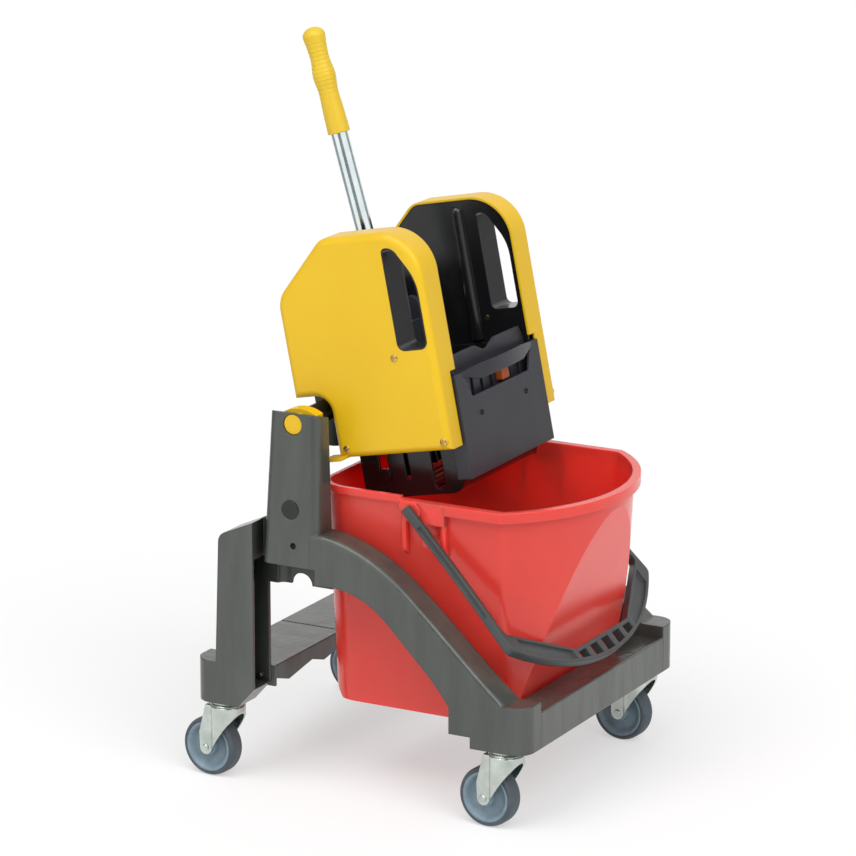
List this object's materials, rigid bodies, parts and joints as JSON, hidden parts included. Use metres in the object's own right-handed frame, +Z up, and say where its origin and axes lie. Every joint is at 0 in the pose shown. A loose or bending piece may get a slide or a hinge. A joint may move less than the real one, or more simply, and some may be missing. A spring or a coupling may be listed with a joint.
{
  "type": "mop bucket trolley",
  "caption": "Wheeled single bucket trolley: moulded arched frame, D shaped bucket with bail, tilting press with a pull lever, swivel castors.",
  "frame": {"origin": "on the floor, in the middle of the footprint of the frame", "axes": "+Z up, -Y to the front where the tray bar and the bail grip are, +X to the right seen from the front"},
  "size_m": [0.416, 0.5138, 0.9154],
  "materials": {
    "frame_grey": "fine grained moulding",
    "bucket_red": "satin moulding",
    "yellow_plastic": "satin moulding",
    "grip_yellow": "soft ribbed grip",
    "press_grey": "matte moulding",
    "black_plastic": "matte moulding",
    "bail_grey": "satin moulding",
    "zinc": "zinc plated pressed steel",
    "screw_brass": "plated screw heads",
    "catch_orange": "matte moulding",
    "tube_chrome": "polished tube",
    "hub_grey": "moulded wheel",
    "tyre_grey": "soft grey tread"
  },
  "bodies": {
    "chassis": {"side_frame_right": "frame_grey", "side_frame_left": "frame_grey", "front_tray": "frame_grey", "rear_beam": "frame_grey", "spine": "frame_grey", "frame_bolts": "zinc", "pivot_pins": "yellow_plastic", "tower_plugs": "black_plastic", "castor_stems": "zinc"},
    "bucket": {"bucket": "bucket_red"},
    "bail": {"bail": "bail_grey"},
    "press": {"press_cover_right": "yellow_plastic", "press_cover_left": "yellow_plastic", "press_liner_right": "black_plastic", "press_liner_left": "black_plastic", "hinge_boss_right": "black_plastic", "hinge_boss_left": "black_plastic", "front_plate": "press_grey", "front_sieve": "press_grey", "basket": "black_plastic", "rear_panel": "black_plastic", "plate_studs": "black_plastic", "tie_rod": "zinc", "cover_screws": "screw_brass", "press_catch": "catch_orange", "lever_shaft": "black_plastic"},
    "lever": {"lever_yoke": "press_grey", "press_jaw": "black_plastic", "lever_tube": "tube_chrome", "tube_bolt": "zinc", "lever_grip": "grip_yellow"},
    "castor_front_left": {"castor_fork_front_left": "zinc", "castor_race_front_left": "zinc", "castor_axle_front_left": "zinc"},
    "wheel_front_left": {"castor_hub_front_left": "hub_grey", "castor_tyre_front_left": "tyre_grey"},
    "castor_rear_left": {"castor_fork_rear_left": "zinc", "castor_race_rear_left": "zinc", "castor_axle_rear_left": "zinc"},
    "wheel_rear_left": {"castor_hub_rear_left": "hub_grey", "castor_tyre_rear_left": "tyre_grey"},
    "castor_front_right": {"castor_fork_front_right": "zinc", "castor_race_front_right": "zinc", "castor_axle_front_right": "zinc"},
    "wheel_front_right": {"castor_hub_front_right": "hub_grey", "castor_tyre_front_right": "tyre_grey"},
    "castor_rear_right": {"castor_fork_rear_right": "zinc", "castor_race_rear_right": "zinc", "castor_axle_rear_right": "zinc"},
    "wheel_rear_right": {"castor_hub_rear_right": "hub_grey", "castor_tyre_rear_right": "tyre_grey"}
  },
  "joints": [
    {"name": "bucket_lift", "type": "slide", "parent": "chassis", "child": "bucket", "axis": [0, 0, 1], "range_m": [0, 0.02]},
    {"name": "bail_swing", "type": "hinge", "parent": "bucket", "child": "bail", "pos_m": [0, -0.055, 0.372], "axis": [-1, 0, 0], "range_deg": [0, 120]},
    {"name": "press_tilt", "type": "hinge", "parent": "chassis", "child": "press", "pos_m": [0, 0.092, 0.4675], "axis": [-1, 0, 0], "range_deg": [0, 70]},
    {"name": "lever_swing", "type": "hinge", "parent": "press", "child": "lever", "pos_m": [0, 0.01768, 0.39057], "axis": [1, 0, 0], "range_deg": [0, 36]},
    {"name": "swivel_front_left", "type": "hinge", "parent": "chassis", "child": "castor_front_left", "pos_m": [-0.182, -0.1946, 0.0375], "axis": [0, 0, 1], "continuous": true},
    {"name": "spin_front_left", "type": "hinge", "parent": "castor_front_left", "child": "wheel_front_left", "pos_m": [-0.18025, -0.17137, 0.0375], "axis": [0.9972, -0.075, 0], "continuous": true},
    {"name": "swivel_rear_left", "type": "hinge", "parent": "chassis", "child": "castor_rear_left", "pos_m": [-0.182, 0.1946, 0.0375], "axis": [0, 0, 1], "continuous": true},
    {"name": "spin_rear_left", "type": "hinge", "parent": "castor_rear_left", "child": "wheel_rear_left", "pos_m": [-0.18025, 0.21783, 0.0375], "axis": [0.9972, -0.075, 0], "continuous": true},
    {"name": "swivel_front_right", "type": "hinge", "parent": "chassis", "child": "castor_front_right", "pos_m": [0.182, -0.1946, 0.0375], "axis": [0, 0, 1], "continuous": true},
    {"name": "spin_front_right", "type": "hinge", "parent": "castor_front_right", "child": "wheel_front_right", "pos_m": [0.18375, -0.17137, 0.0375], "axis": [0.9972, -0.075, 0], "continuous": true},
    {"name": "swivel_rear_right", "type": "hinge", "parent": "chassis", "child": "castor_rear_right", "pos_m": [0.182, 0.1946, 0.0375], "axis": [0, 0, 1], "continuous": true},
    {"name": "spin_rear_right", "type": "hinge", "parent": "castor_rear_right", "child": "wheel_rear_right", "pos_m": [0.18375, 0.21783, 0.0375], "axis": [0.9972, -0.075, 0], "continuous": true}
  ]
}
